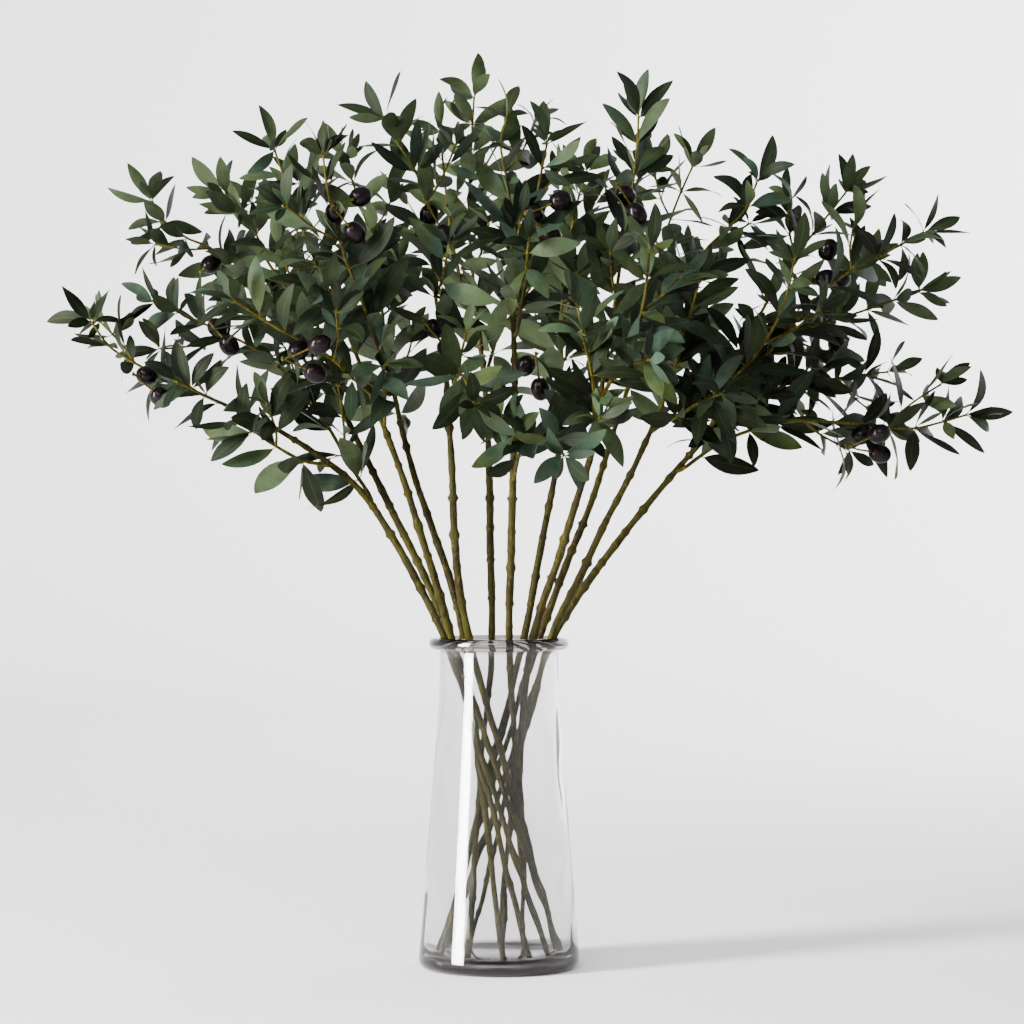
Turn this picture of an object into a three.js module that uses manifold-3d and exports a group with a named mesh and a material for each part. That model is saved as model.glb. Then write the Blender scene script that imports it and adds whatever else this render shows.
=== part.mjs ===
// Twelve cut olive branches with fruit, standing fanned out in a clear glass vase.
// Millimetres, +Z up. The origin is the centre of the vase's flat underside, +X runs along the
// fan's width, and -Y is the front.
//
// Each branch is a bare cane that leans on the vase's lip and forks into leafy sprays. A spray is
// a twig with side twigs, and every leaf grows out of a small collar on its twig, so that a spray
// is one closed body. Olives hang in clusters on short stalks.
import * as THREE from "three";
import { mergeVertices } from "three/addons/utils/BufferGeometryUtils.js";
import Module from "manifold-3d";

const wasm = await Module();
wasm.setup();

// ---- Driving dimensions ----
const GAP = 0.4; // clear space between pieces that touch

const VASE = {
  height: 330,
  baseRadius: 80.5,
  footRound: 9,
  neckRadius: 59.5,
  neckHeight: 272,
  wall: 3.2,
  floor: 11,
  lipTube: 5.5,
  lipRadius: 70,
  segments: 32,
};

const CANE = {
  footRadius: 2.9,
  swellRadius: 3.8, // where the branch starts to fork
  swellAt: 0.66,
  endRadius: 2.0,
  sides: 6,
  step: 58,
  lipCircle: 52.6, // where a cane's axis passes the lip
  footCircle: 62, // where its axis meets the vase's floor
  turn: 142, // degrees from lip to foot, which keeps the crossing canes apart
};

const TWIG = { rootRadius: 2.3, tipRadius: 1.25, collar: 3, firstLeaf: 22, leafStep: 29, leaves: 3 };
const SIDE_TWIG = { length: 60, leafStep: 22, leaves: 2, spread: 46, perLength: 105 };
const LEAF = { length: 56, width: 18.8, thickness: 0.9, tilt: 50, widest: 0.48, facing: 0.8 };
const OLIVE = { radius: 9.7, halfLength: 11.6, stalkRadius: 1.0, stalk: 13, sides: 7 };

// ---- Branches ----
// lip: the compass angle, in degrees from +X, where the cane leans on the lip. way: the points
// that the cane passes above it. Each spray has the height where it leaves the cane, or null where
// it carries on from the cane's end, and the points that its twig passes.
const BRANCHES = [
  {
    lip: 180,
    way: [[-97, 8, 412], [-131, 10, 467], [-173, 5, 506], [-229, -10, 542]],
    sprays: [
      { from: null, way: [[-300, -25, 574], [-352, -35, 598], [-386, -42, 620], [-402, -45, 643]] },
      { from: 467, way: [[-153, 22, 507], [-177, 32, 547], [-234, 42, 611], [-304, 45, 648], [-350, 40, 668]] },
      { from: 506, way: [[-205, -10, 510], [-238, -30, 532], [-264, -55, 545]] },
    ],
  },
  {
    lip: 157,
    way: [[-89, 30, 419], [-113, 42, 465], [-135, 55, 509], [-160, 70, 560], [-188, 85, 620]],
    sprays: [
      { from: null, way: [[-210, 95, 670], [-240, 105, 715], [-258, 110, 755], [-285, 112, 785]] },
      { from: 560, way: [[-215, 95, 632], [-262, 105, 690], [-300, 112, 729], [-338, 112, 746], [-360, 108, 778]] },
      { from: 600, way: [[-196, 120, 680], [-208, 150, 735], [-222, 160, 780]] },
    ],
  },
  {
    lip: -148,
    way: [[-68, -45, 405], [-92, -62, 482], [-107, -75, 525], [-130, -95, 587]],
    sprays: [
      { from: null, way: [[-155, -115, 650], [-180, -125, 705], [-200, -128, 760], [-216, -125, 805]] },
      { from: 575, way: [[-165, -135, 606], [-210, -165, 630], [-250, -180, 655]] },
      { from: 545, way: [[-112, -125, 600], [-130, -145, 655], [-150, -158, 710], [-162, -162, 760], [-167, -158, 795]] },
    ],
  },
  {
    lip: 132,
    way: [[-52, 62, 392], [-82, 88, 475], [-98, 105, 530], [-112, 125, 590]],
    sprays: [
      { from: null, way: [[-122, 140, 660], [-128, 150, 715], [-140, 158, 760], [-152, 160, 795], [-163, 155, 825]] },
      { from: 540, way: [[-112, 145, 585], [-124, 172, 635], [-138, 196, 690], [-138, 208, 742]] },
    ],
  },
  {
    lip: -122,
    way: [[-42, -60, 407], [-45, -70, 487], [-49, -80, 545], [-52, -92, 610]],
    sprays: [
      { from: null, way: [[-62, -100, 670], [-66, -102, 725], [-76, -105, 775], [-95, -105, 808], [-110, -100, 836]] },
      { from: 560, way: [[-40, -125, 585], [-32, -165, 582], [-22, -200, 556]] },
    ],
  },
  {
    lip: 98,
    way: [[-9, 72, 407], [-11, 90, 517], [-18, 108, 617], [-22, 112, 650]],
    sprays: [
      { from: null, way: [[-28, 120, 705], [-32, 125, 765], [-30, 120, 815], [-28, 112, 855], [-26, 105, 885]] },
      { from: 640, way: [[-42, 104, 700], [-52, 104, 760], [-58, 102, 812], [-60, 95, 848]] },
      { from: 600, way: [[5, 150, 665], [20, 185, 720], [15, 205, 772]] },
    ],
  },
  {
    lip: -79,
    way: [[12, -66, 407], [14, -75, 497], [16, -84, 559], [14, -90, 645]],
    sprays: [
      { from: null, way: [[13, -92, 717], [10, -92, 765], [4, -90, 800], [2, -85, 822], [8, -80, 840]] },
      { from: 630, way: [[30, -112, 700], [38, -118, 765], [47, -112, 812]] },
      { from: 490, way: [[22, -105, 516], [36, -140, 524], [52, -172, 524], [62, -198, 508]] },
    ],
  },
  {
    lip: 62,
    way: [[42, 64, 417], [51, 75, 462], [58, 85, 491], [63, 100, 567]],
    sprays: [
      { from: null, way: [[63, 110, 647], [70, 112, 710], [78, 110, 765], [90, 102, 808]] },
      { from: 550, way: [[50, 140, 620], [45, 175, 690], [60, 198, 750]] },
    ],
  },
  {
    lip: -53,
    way: [[63, -62, 422], [77, -72, 469], [91, -82, 512], [101, -95, 582]],
    sprays: [
      { from: null, way: [[111, -105, 647], [121, -108, 717], [129, -105, 765], [134, -98, 805], [136, -92, 840]] },
      { from: 512, way: [[92, -130, 550], [88, -175, 590], [78, -208, 622]] },
      { from: 568, way: [[122, -140, 610], [137, -180, 650], [142, -200, 700]] },
    ],
  },
  {
    lip: 41,
    way: [[74, 52, 417], [95, 62, 467], [108, 72, 508], [125, 88, 562]],
    sprays: [
      { from: null, way: [[143, 105, 620], [156, 115, 677], [167, 120, 725], [182, 116, 772], [200, 108, 813]] },
      { from: 545, way: [[145, 135, 610], [178, 170, 655], [215, 190, 702]] },
    ],
  },
  {
    lip: -20,
    way: [[96, -24, 422], [116, -28, 467], [138, -32, 507], [157, -35, 550]],
    sprays: [
      { from: null, way: [[178, -40, 610], [190, -42, 675], [207, -48, 718], [238, -55, 745], [254, -60, 780]] },
      { from: 540, way: [[205, -60, 568], [245, -80, 602], [275, -90, 650], [288, -85, 700]] },
    ],
  },
  {
    lip: 6,
    way: [[101, 8, 402], [141, 12, 449], [153, 12, 469], [187, 14, 507], [222, 20, 545]],
    sprays: [
      { from: 500, way: [[225, 0, 526], [285, -15, 545], [350, -20, 543], [410, -25, 538], [466, -25, 552]] },
      { from: null, way: [[265, 30, 572], [305, 35, 584], [355, 40, 592], [395, 38, 597]] },
      { from: 536, way: [[248, 52, 602], [296, 70, 636], [345, 84, 652], [392, 88, 668], [432, 88, 682]] },
      { from: 517, way: [[226, -20, 590], [262, -10, 655], [298, 10, 712], [328, 20, 750], [350, 22, 778]] },
      { from: 508, way: [[240, -40, 580], [290, -45, 640], [335, -35, 685], [380, -20, 710], [425, -10, 735]] },
    ],
  },
];

// Where each cluster of olives hangs, and how many it has. Its stalk comes from the nearest twig.
const CLUSTERS = [
  { at: [-319, 85, 692], olives: 1 },
  { at: [-346, -60, 574], olives: 2 },
  { at: [-283, 15, 634], olives: 2 },
  { at: [-181, -165, 600], olives: 3 },
  { at: [-142, -175, 738], olives: 3 },
  { at: [-49, -160, 735], olives: 2 },
  { at: [-60, -120, 624], olives: 2 },
  { at: [45, -135, 738], olives: 3 },
  { at: [84, 88, 711], olives: 1 },
  { at: [125, -132, 755], olives: 2 },
  { at: [42, -100, 590], olives: 2 },
  { at: [341, 60, 640], olives: 2 },
  { at: [322, -12, 700], olives: 3 },
  { at: [368, -30, 528], olives: 3 },
];

// ---- Small tools ----
const vec = (x, y, z) => new THREE.Vector3(x, y, z);
const radians = THREE.MathUtils.degToRad;
const mix = THREE.MathUtils.lerp;

// The same numbers, from 0 to 1, on every run.
let seed = 20417;
function chance() {
  seed = (Math.imul(seed, 1664525) + 1013904223) >>> 0;
  return seed / 4294967296;
}
const about = (middle, spread) => middle + spread * (2 * chance() - 1);

// The part of v that is square to axis, one long.
const square = (v, axis) => v.clone().addScaledVector(axis, -v.dot(axis)).normalize();

// A closed surface that is grown triangle by triangle, facing out.
class Body {
  points = [];
  faces = [];

  point(v) {
    this.points.push(v.x, v.y, v.z);
    return this.points.length / 3 - 1;
  }

  at(i) {
    return vec(...this.points.slice(3 * i, 3 * i + 3));
  }

  centre(corners) {
    const sum = vec(0, 0, 0);
    for (const i of corners) sum.add(this.at(i));
    return sum.divideScalar(corners.length);
  }

  // Corners round a centre, anticlockwise about the axis, the first one towards mark.
  ring(centre, axis, mark, radius, sides) {
    const u = square(mark, axis);
    const w = axis.clone().cross(u);
    return Array.from({ length: sides }, (_, i) => {
      const a = (2 * Math.PI * i) / sides;
      const out = u.clone().multiplyScalar(Math.cos(a)).addScaledVector(w, Math.sin(a));
      return this.point(centre.clone().addScaledVector(out, radius));
    });
  }

  facing([a, b, c]) {
    const p = this.at(a);
    return this.at(b).sub(p).cross(this.at(c).sub(p)).normalize();
  }

  // The wall between two rings, as triangles that aren't yet faces. Each quad is cut along the
  // diagonal that lies further out.
  wall(low, high) {
    return low.flatMap((a, i) => {
      const [b, c, d] = [low[(i + 1) % low.length], high[(i + 1) % low.length], high[i]];
      const inside = this.at(d).sub(this.at(a)).dot(this.facing([a, b, c])) <= 0;
      return inside ? [[a, b, c], [a, c, d]] : [[a, b, d], [b, c, d]];
    });
  }

  cap(ring) {
    for (let i = 1; i < ring.length - 1; i++) this.faces.push([ring[0], ring[i], ring[i + 1]]);
  }

  geometry() {
    const made = new THREE.BufferGeometry();
    made.setAttribute("position", new THREE.Float32BufferAttribute(this.points, 3));
    made.setIndex(this.faces.flat());
    return made;
  }
}

// A closed geometry as a manifold-3d solid, and back.
function toSolid(geometry) {
  const bare = geometry.clone().deleteAttribute("normal").deleteAttribute("uv");
  const { attributes, index } = mergeVertices(bare, 1e-3);
  return new wasm.Manifold(
    new wasm.Mesh({
      numProp: 3,
      vertProperties: new Float32Array(attributes.position.array),
      triVerts: new Uint32Array(index.array),
    }),
  );
}

function toGeometry(solid) {
  const { vertProperties, triVerts } = solid.getMesh();
  const made = new THREE.BufferGeometry();
  made.setAttribute("position", new THREE.BufferAttribute(vertProperties, 3));
  made.setIndex(new THREE.BufferAttribute(triVerts, 1));
  return made;
}

// ---- Room: what is already there, so that nothing grows through anything else ----
const room = [];

// whole has clear space all round it. For what grows on the same twig there are two more guards:
// short, which starts a little way off the collar, and bare, which has no clear space.
function claim(owner, whole, short = whole, bare = whole) {
  room.push({ whole, short, bare, owner, box: whole.boundingBox() });
}

function isFree(solid, mayTouch, guard = "whole") {
  const { min, max } = solid.boundingBox();
  return room.every((other) => {
    const apart = [0, 1, 2].some((k) => min[k] > other.box.max[k] || max[k] < other.box.min[k]);
    if (apart || mayTouch(other.owner)) return true;
    const shared = solid.intersect(other[guard]);
    const free = shared.isEmpty();
    shared.delete();
    return free;
  });
}

// A stretch of wood with clear space round it.
function sleeve(a, b, radius) {
  const body = new Body();
  const axis = b.clone().sub(a).normalize();
  const mark = Math.abs(axis.z) < 0.9 ? vec(0, 0, 1) : vec(1, 0, 0);
  const low = body.ring(a, axis, mark, radius, 6);
  const high = body.ring(b, axis, mark, radius, 6);
  body.cap([...low].reverse());
  body.faces.push(...body.wall(low, high));
  body.cap(high);
  return toSolid(body.geometry());
}

// ---- Vase ----
function vaseGeometry() {
  const { height, baseRadius, footRound, neckRadius, neckHeight, wall, floor, lipTube, lipRadius } = VASE;
  const lipX = lipRadius - lipTube;
  const lipZ = height - lipTube;
  const arc = (x, z, r, from, to, steps) =>
    Array.from({ length: steps + 1 }, (_, i) => {
      const a = radians(mix(from, to, i / steps));
      return new THREE.Vector2(x + r * Math.cos(a), z + r * Math.sin(a));
    });
  const inner = footRound - 2;
  const profile = [
    new THREE.Vector2(0, 0),
    ...arc(baseRadius - footRound, footRound, footRound, -90, 0, 2),
    new THREE.Vector2(mix(baseRadius, neckRadius, 0.55), mix(footRound, neckHeight, 0.52)),
    new THREE.Vector2(neckRadius, neckHeight),
    new THREE.Vector2(neckRadius, lipZ - lipTube),
    ...arc(lipX, lipZ, lipTube, -70, 150, 5),
    new THREE.Vector2(neckRadius - wall, lipZ - lipTube),
    new THREE.Vector2(neckRadius - wall, neckHeight),
    new THREE.Vector2(mix(baseRadius, neckRadius, 0.55) - wall, mix(footRound, neckHeight, 0.52)),
    ...arc(baseRadius - wall - inner, floor + inner, inner, 0, -90, 1),
    new THREE.Vector2(0, floor),
  ];
  return new THREE.LatheGeometry(profile, VASE.segments).rotateX(Math.PI / 2);
}

// ---- Canes ----
const polar = (radius, degrees, z) =>
  vec(radius * Math.cos(radians(degrees)), radius * Math.sin(radians(degrees)), z);

function caneCurve({ lip, way }) {
  const footZ = VASE.floor + CANE.footRadius / 2 + GAP;
  const foot = polar(CANE.footCircle, lip + CANE.turn, footZ);
  const rest = polar(CANE.lipCircle, lip, VASE.height - VASE.lipTube);
  const straight = [0, 0.25, 0.5, 0.75, 1].map((t) => foot.clone().lerp(rest, t));
  return new THREE.CatmullRomCurve3([...straight, ...way.map((p) => vec(...p))], false, "centripetal");
}

function caneRadius(t) {
  const { footRadius, swellRadius, swellAt, endRadius } = CANE;
  if (t < swellAt) return mix(footRadius, swellRadius, (t / swellAt) ** 3);
  return mix(swellRadius, endRadius, (t - swellAt) / (1 - swellAt));
}

function caneBody(curve, owner) {
  const body = new Body();
  const steps = Math.round(curve.getLength() / CANE.step);
  const rings = [];
  for (let i = 0; i <= steps; i++) {
    const t = i / steps;
    const axis = curve.getTangentAt(t);
    rings.push(body.ring(curve.getPointAt(t), axis, vec(0.3, 1, 0.1), caneRadius(t), CANE.sides));
  }
  body.cap([...rings[0]].reverse());
  for (let i = 0; i < steps; i++) body.faces.push(...body.wall(rings[i], rings[i + 1]));
  body.cap(rings[steps]);
  const guards = 2 * steps;
  for (let i = 0; i < guards; i++) {
    const [a, b] = [i / guards, (i + 1) / guards];
    claim(owner, sleeve(curve.getPointAt(a), curve.getPointAt(b), caneRadius(a) + 1));
  }
  return body;
}

// ---- Sprays ----
// A twig to be grown: its curve, its radius at both ends, where along it the leaves sit and how many
// sit together.
function planTwig(curve, rootRadius, firstLeaf, leafStep, leaves) {
  const length = curve.getLength();
  const count = Math.max(1, Math.round((length - firstLeaf) / leafStep) + 1);
  const places = Array.from({ length: count }, (_, i) =>
    count === 1 ? 1 : mix(firstLeaf / length, 1, i / (count - 1)),
  );
  return { curve, length, rootRadius, tipRadius: TWIG.tipRadius, places, leaves };
}

const twigRadius = (twig, t) => mix(twig.rootRadius, twig.tipRadius, t);

function claimTwig(twig, owner) {
  const stops = [0, ...twig.places];
  for (let i = 0; i + 1 < stops.length; i++) {
    const a = twig.curve.getPointAt(stops[i]);
    const b = twig.curve.getPointAt(stops[i + 1]);
    const radius = twigRadius(twig, stops[i]);
    const guard = sleeve(a, b, radius + 0.5);
    claim(owner, guard, guard, sleeve(a, b, 0.4 * radius));
  }
}

function twigIsFree(twig, owner) {
  const stops = [0, ...twig.places];
  return stops.slice(1).every((t, i) => {
    const a = twig.curve.getPointAt(stops[i]);
    const b = twig.curve.getPointAt(t);
    const guard = sleeve(a, b, twigRadius(twig, stops[i]) + 0.5);
    return isFree(guard, (o) => o === owner || (i === 0 && o === owner.split("_spray")[0]));
  });
}

// The main twig of a spray. It starts just clear of the cane, beside it or off its end.
function mainTwig(spray, cane, owner) {
  const way = spray.way.map((p) => vec(...p));
  const aim = way[0].clone();
  let start;
  if (spray.from === null) {
    start = cane.getPointAt(1).addScaledVector(cane.getTangentAt(1), GAP + 0.2);
  } else {
    const t = tAtHeight(cane, spray.from);
    const on = cane.getPointAt(t);
    const out = square(aim.sub(on), cane.getTangentAt(t));
    start = on.addScaledVector(out, caneRadius(t) + TWIG.rootRadius + GAP);
  }
  const sway = [0, 7, -7, 14, -14, 21, -21];
  for (const shift of sway) {
    const moved = way.map((p, i) => p.clone().add(vec(0, i + 1 < way.length ? shift : 0, shift / 3)));
    const curve = new THREE.CatmullRomCurve3([start, ...moved], false, "centripetal");
    const twig = planTwig(curve, TWIG.rootRadius, TWIG.firstLeaf, TWIG.leafStep, TWIG.leaves);
    if (twigIsFree(twig, owner)) return twig;
  }
  throw new Error(`${owner} has no free way`);
}

function tAtHeight(curve, height) {
  let [low, high] = [0, 1];
  for (let i = 0; i < 30; i++) {
    const t = (low + high) / 2;
    if (curve.getPointAt(t).z < height) low = t;
    else high = t;
  }
  return low;
}

// Side twigs leave the main twig's collars in turn, each on the next side round.
function sideTwigs(main, owner) {
  const count = Math.max(1, Math.round(main.length / SIDE_TWIG.perLength));
  const made = [];
  for (let k = 0; k < count; k++) {
    const place = Math.floor(((k + 0.6) / (count + 0.4)) * (main.places.length - 1));
    const t = main.places[place];
    const axis = main.curve.getTangentAt(t);
    const on = main.curve.getPointAt(t);
    const turned = about(140 * k, 25);
    for (let tries = 0; tries < 8; tries++) {
      const round = radians(turned + 45 * tries);
      const side = square(vec(0.2, -1, 0.3), axis).applyAxisAngle(axis, round);
      const spread = radians(about(SIDE_TWIG.spread, 8));
      const aim = axis.clone().multiplyScalar(Math.cos(spread)).addScaledVector(side, Math.sin(spread));
      const long = about(SIDE_TWIG.length, 14);
      const bend = axis.clone().multiplyScalar(0.12 * long);
      const root = on.clone().addScaledVector(side, 1.2);
      const curve = new THREE.CatmullRomCurve3(
        [root, root.clone().addScaledVector(aim, 0.5 * long), root.clone().addScaledVector(aim, long).add(bend)],
        false,
        "centripetal",
      );
      const radius = 0.8 * twigRadius(main, t);
      const twig = planTwig(curve, radius, SIDE_TWIG.leafStep, SIDE_TWIG.leafStep, SIDE_TWIG.leaves);
      if (twigIsFree(twig, owner)) {
        made.push({ place, side, twig });
        claimTwig(twig, owner);
        break;
      }
    }
  }
  return made;
}

// The triangle of a collar that faces most nearly along out, taken off the list.
function takeTriangle(body, free, out) {
  let [best, most] = [0, -Infinity];
  free.forEach((triangle, i) => {
    const along = body.facing(triangle).dot(out);
    if (along > most) [best, most] = [i, along];
  });
  return free.splice(best, 1)[0];
}

// The second triangle turned so that its corners lie nearest the first one's.
function matched(body, low, high) {
  const turns = [0, 1, 2].map((k) => [high[k], high[(k + 1) % 3], high[(k + 2) % 3]]);
  const cost = (turn) => turn.reduce((sum, p, i) => sum + body.at(p).distanceTo(body.at(low[i])), 0);
  return turns.reduce((a, b) => (cost(b) < cost(a) ? b : a));
}

// A leaf's guiding points, from how it stands on its twig. Its upper face looks partly along the
// twig and partly out of the fan, to the front or the back.
function leafFrame(root, axis, side, { tilt, roll, length, width, droop }) {
  const aim = axis.clone().multiplyScalar(Math.cos(tilt)).addScaledVector(side, Math.sin(tilt));
  const out = vec(0, root.y > 60 ? LEAF.facing : -LEAF.facing, 0.2);
  const up = square(out.add(axis), aim).applyAxisAngle(aim, roll);
  const across = up.clone().cross(aim);
  const middle = root.clone().addScaledVector(aim, LEAF.widest * length);
  const tipAim = aim.clone().applyAxisAngle(across, droop);
  const tip = middle.clone().addScaledVector(tipAim, (1 - LEAF.widest) * length);
  return {
    aim,
    up,
    tip,
    middle,
    left: middle.clone().addScaledVector(across, width / 2),
    right: middle.clone().addScaledVector(across, -width / 2),
    rib: middle.clone().addScaledVector(up, -LEAF.thickness),
  };
}

// Closes a leaf over a base triangle: out to its widest, then in to its tip.
function shapeLeaf(body, base, { left, right, rib, tip }) {
  const belt = [left, right, rib].map((p) => body.point(p));
  const around = matched(body, base, belt);
  const end = body.point(tip);
  body.faces.push(...body.wall(base, around));
  around.forEach((p, i) => body.faces.push([p, around[(i + 1) % 3], end]));
}

// The leaf with clear space round it, from its base triangle's corners to past its tip.
function wholeGuard(frame, corners, root) {
  const body = new Body();
  const away = (p, from) => p.clone().add(p.clone().sub(from).setLength(0.7));
  const side = (p) => away(p, frame.middle).addScaledVector(frame.up, 0.7);
  const base = corners.map((p) => body.point(away(p, root)));
  body.cap([...base].reverse());
  shapeLeaf(body, base, {
    left: side(frame.left),
    right: side(frame.right),
    rib: frame.rib.clone().addScaledVector(frame.up, -0.7),
    tip: away(frame.tip, frame.middle),
  });
  return toSolid(body.geometry());
}

// The leaf as it is, from off its collar outwards.
function bareGuard(frame, corners, root, off, share) {
  const body = new Body();
  const start = root.clone().addScaledVector(frame.aim, off);
  const base = corners.map((p) => body.point(p.clone().sub(root).multiplyScalar(share).add(start)));
  body.cap([...base].reverse());
  shapeLeaf(body, base, frame);
  return toSolid(body.geometry());
}

let leafCount = 0;

// Grows a leaf out of one triangle, if it finds room. Returns whether it did.
function growLeaf(body, base, axis, side, size, owner, upright = false) {
  const root = body.centre(base);
  const corners = base.map((i) => body.at(i));
  for (let tries = 0; tries < 6; tries++) {
    const turned = side.clone().applyAxisAngle(axis, radians(about(0, 14 + 8 * tries)));
    const length = about(size, 0.16 * size) * (1 - 0.06 * tries);
    const pose = {
      tilt: radians(upright ? about(8, 8) : about(LEAF.tilt, 14)),
      roll: radians(about(0, 32)),
      droop: radians(about(14, 22)),
      length,
      width: (length / LEAF.length) * about(LEAF.width, 1.6),
    };
    const frame = leafFrame(root, axis, turned, pose);
    const whole = wholeGuard(frame, corners, root);
    const short = bareGuard(frame, corners, root, 3.5, 0.2);
    const bare = bareGuard(frame, corners, root, 0.15, 0.85);
    const others = (name) => name !== owner;
    if (
      isFree(short, others, "short") &&
      isFree(bare, others, "bare") &&
      isFree(whole, (name) => name === owner)
    ) {
      claim(owner, whole, short, bare);
      shapeLeaf(body, base, frame);
      leafCount += 1;
      return true;
    }
    for (const guard of [whole, short, bare]) guard.delete();
  }
  return false;
}

// Grows a twig from a ring or a collar's triangle: collars, leaves, side twigs and a leaf at its end.
// Each collar is turned a little further than the one below it.
function growTwig(body, start, twig, sides, size, owner) {
  let below = start;
  let mark = body.at(start[0]).sub(body.centre(start));
  twig.places.forEach((t, i) => {
    const axis = twig.curve.getTangentAt(t);
    const last = i + 1 === twig.places.length;
    const radius = twigRadius(twig, t);
    const on = twig.curve.getPointAt(t).addScaledVector(axis, last ? -TWIG.collar : 0);
    const shoots = sides.filter(({ place }) => place === i);
    mark = shoots.length ? shoots[0].side : square(mark, axis).applyAxisAngle(axis, radians(about(45, 12)));
    mark = square(mark, axis).applyAxisAngle(axis, shoots.length ? Math.PI / 3 : 0);
    const low = body.ring(on, axis, mark, radius, 3);
    const high = body.ring(on.clone().addScaledVector(axis, TWIG.collar), axis, mark, 0.94 * radius, 3);
    body.faces.push(...body.wall(below, matched(body, below, low)));
    const free = body.wall(low, high);
    for (const { side, twig: child } of shoots) {
      const base = takeTriangle(body, free, side);
      growTwig(body, base, child, [], 0.86 * size, owner);
    }
    const profile = 0.8 + 0.35 * Math.sin(Math.PI * Math.min(1, 0.25 + 0.75 * t));
    const count = twig.leaves - shoots.length;
    for (let k = 0; k < count; k++) {
      const turn = Math.PI / 3 + (2 * Math.PI * (k + shoots.length)) / twig.leaves;
      const wanted = mark.clone().applyAxisAngle(axis, turn);
      const base = takeTriangle(body, free, wanted);
      const side = wanted.add(body.facing(base)).normalize();
      if (!growLeaf(body, base, axis, side, size * profile, owner)) free.push(base);
    }
    body.faces.push(...free);
    below = high;
    if (last && !growLeaf(body, high, axis, mark, 0.8 * size, owner, true)) body.cap(high);
  });
}

function sprayBody(main, sides, owner) {
  const body = new Body();
  const axis = main.curve.getTangentAt(0);
  const ring = body.ring(main.curve.getPointAt(0), axis, vec(0.2, -1, 0.3), main.rootRadius, 3);
  body.cap([...ring].reverse());
  growTwig(body, ring, main, sides, LEAF.length, owner);
  return body;
}

// ---- Olives ----
// A straight stalk with an olive on its end, turned as one piece round its own axis.
function fruitSolid(from, along, stalk) {
  const swell = (share) =>
    new THREE.Vector2(
      OLIVE.radius * Math.sin(Math.PI * share),
      stalk + OLIVE.halfLength * (1 - Math.cos(Math.PI * share)),
    );
  const profile = [
    new THREE.Vector2(0, -0.5),
    new THREE.Vector2(OLIVE.stalkRadius, -0.5),
    new THREE.Vector2(OLIVE.stalkRadius, stalk),
    ...[0.24, 0.5, 0.77].map(swell),
    new THREE.Vector2(0, stalk + 2 * OLIVE.halfLength),
  ];
  const shape = new THREE.LatheGeometry(profile, OLIVE.sides);
  shape.applyQuaternion(new THREE.Quaternion().setFromUnitVectors(vec(0, 1, 0), along));
  return toSolid(shape.translate(from.x, from.y, from.z));
}

// The point of any wood nearest to p, and that wood's radius there.
function nearestWood(woods, p) {
  let best = { gap: Infinity };
  for (const { curve, radiusAt } of woods) {
    for (let i = 0; i <= 60; i++) {
      const on = curve.getPointAt(i / 60);
      const gap = on.distanceTo(p);
      if (gap < best.gap) best = { gap, on, radius: radiusAt(i / 60) };
    }
  }
  return best;
}

// Stalks fan out from a fork just clear of the wood, each with an olive on its end.
function clusterSolid({ at, olives }, woods, owner) {
  const centre = vec(...at);
  for (let tries = 0; tries < 40; tries++) {
    const middle = centre.clone().add(vec(about(0, tries / 2), about(0, tries), about(0, tries / 2)));
    const { on, radius } = nearestWood(woods, middle);
    const out = middle.clone().sub(on).normalize();
    const fork = on.clone().addScaledVector(out, radius + OLIVE.stalkRadius + GAP);
    const joint = fork.clone().addScaledVector(out, 3);
    const mark = square(vec(0, -0.4, -1), out);
    const lean = [0, 0, 44, 52][olives];
    const fruits = Array.from({ length: olives }, (_, k) => {
      const side = mark.clone().applyAxisAngle(out, (2 * Math.PI * k) / olives + 0.6);
      const along = out.clone().multiplyScalar(Math.cos(radians(lean))).addScaledVector(side, Math.sin(radians(lean)));
      return fruitSolid(joint, along, OLIVE.stalk + 3 * k);
    });
    const whole = [sleeve(fork, joint, OLIVE.stalkRadius), ...fruits].reduce((a, b) => a.add(b));
    const volume = fruits.reduce((sum, a) => sum + a.volume(), 0);
    if (whole.volume() > 0.99 * volume && isFree(whole, () => false) && whole.decompose().length === 1) {
      claim(owner, whole);
      return whole;
    }
  }
  throw new Error(`${owner} has no room`);
}

// ---- Assembly ----
const finish = {
  glass: new THREE.MeshStandardMaterial({ color: 0xdfe3e2, roughness: 0.05, metalness: 0, transparent: true, opacity: 0.35 }),
  bark: new THREE.MeshStandardMaterial({ color: 0x5a5220, roughness: 0.8, metalness: 0 }),
  leaf: new THREE.MeshStandardMaterial({ color: 0x3d5a4c, roughness: 0.6, metalness: 0 }),
  olive: new THREE.MeshStandardMaterial({ color: 0x1a1218, roughness: 0.25, metalness: 0 }),
};

const group = new THREE.Group();

function place(name, geometry, material) {
  const mesh = new THREE.Mesh(geometry, material);
  mesh.name = name;
  group.add(mesh);
}

const number = (i) => String(i + 1).padStart(2, "0");

const vase = vaseGeometry();
claim("vase", toSolid(vase));
place("vase", vase, finish.glass);

const canes = BRANCHES.map((branch, i) => {
  const curve = caneCurve(branch);
  const name = `branch_${number(i)}`;
  place(`${name}_cane`, caneBody(curve, name).geometry(), finish.bark);
  return { name, curve };
});

// All the wood comes first, then the fruit, then the leaves fill the room that is left.
const sprays = BRANCHES.flatMap((branch, i) =>
  branch.sprays.map((spray, k) => {
    const owner = `${canes[i].name}_spray_${"abcde"[k]}`;
    const main = mainTwig(spray, canes[i].curve, owner);
    claimTwig(main, owner);
    return { owner, main };
  }),
);
for (const spray of sprays) spray.sides = sideTwigs(spray.main, spray.owner);

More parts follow.
